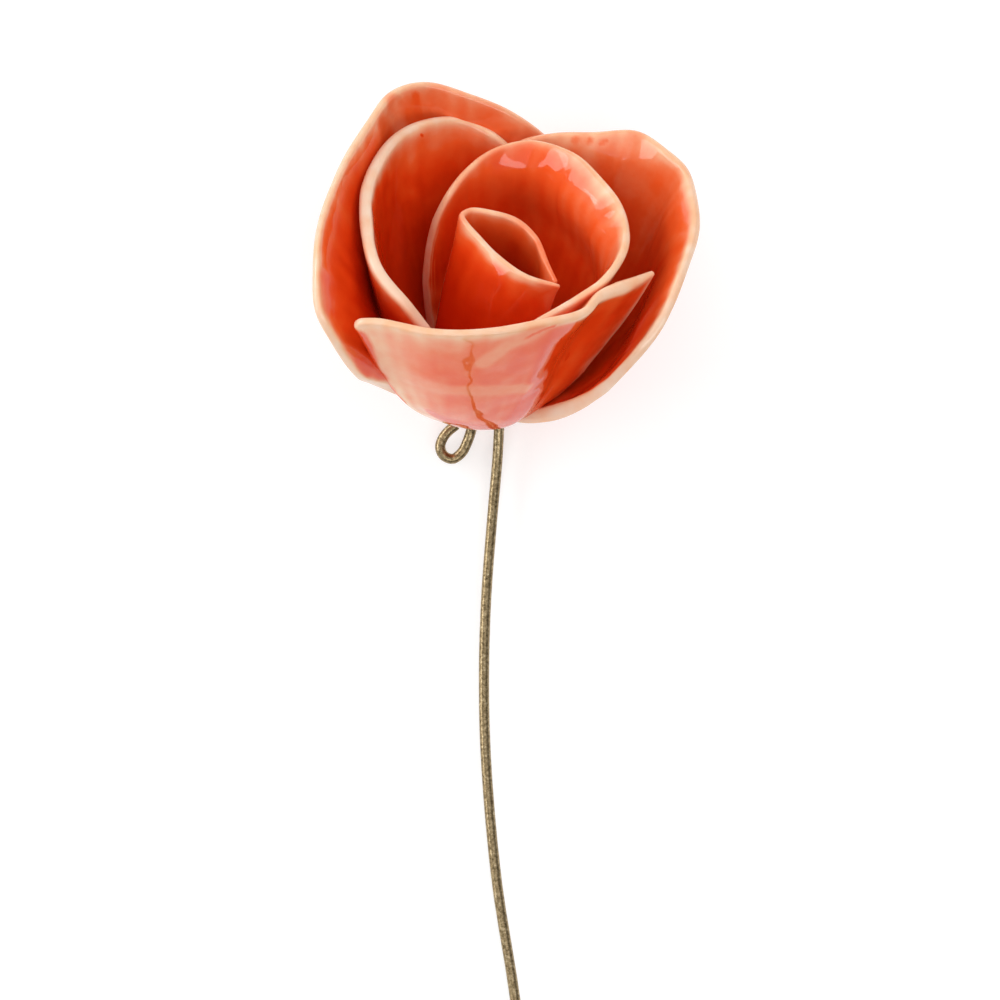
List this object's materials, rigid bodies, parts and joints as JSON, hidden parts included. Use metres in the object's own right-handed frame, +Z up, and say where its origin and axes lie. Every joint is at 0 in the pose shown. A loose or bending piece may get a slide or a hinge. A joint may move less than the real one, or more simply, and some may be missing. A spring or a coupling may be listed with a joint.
{
  "type": "ceramic rose on wire stem",
  "caption": "Glazed ceramic rose, an open bloom of slab petals round a rolled bud, on a bent brass wire stem that ends in a small eye; it lies on a surface.",
  "frame": {"origin": "middle of the part's box, on the surface that it lies on", "axes": "+Z up from the surface, +Y along the stem from its cut end towards the bloom, +X to the right as seen from above with the bloom at the top"},
  "size_m": [0.0539, 0.2536, 0.0413],
  "materials": {
    "glazed_clay": "gloss",
    "aged_brass": "satin"
  },
  "bodies": {
    "root": {"rose_head": "glazed_clay", "stem_wire": "aged_brass"}
  },
  "joints": []
}
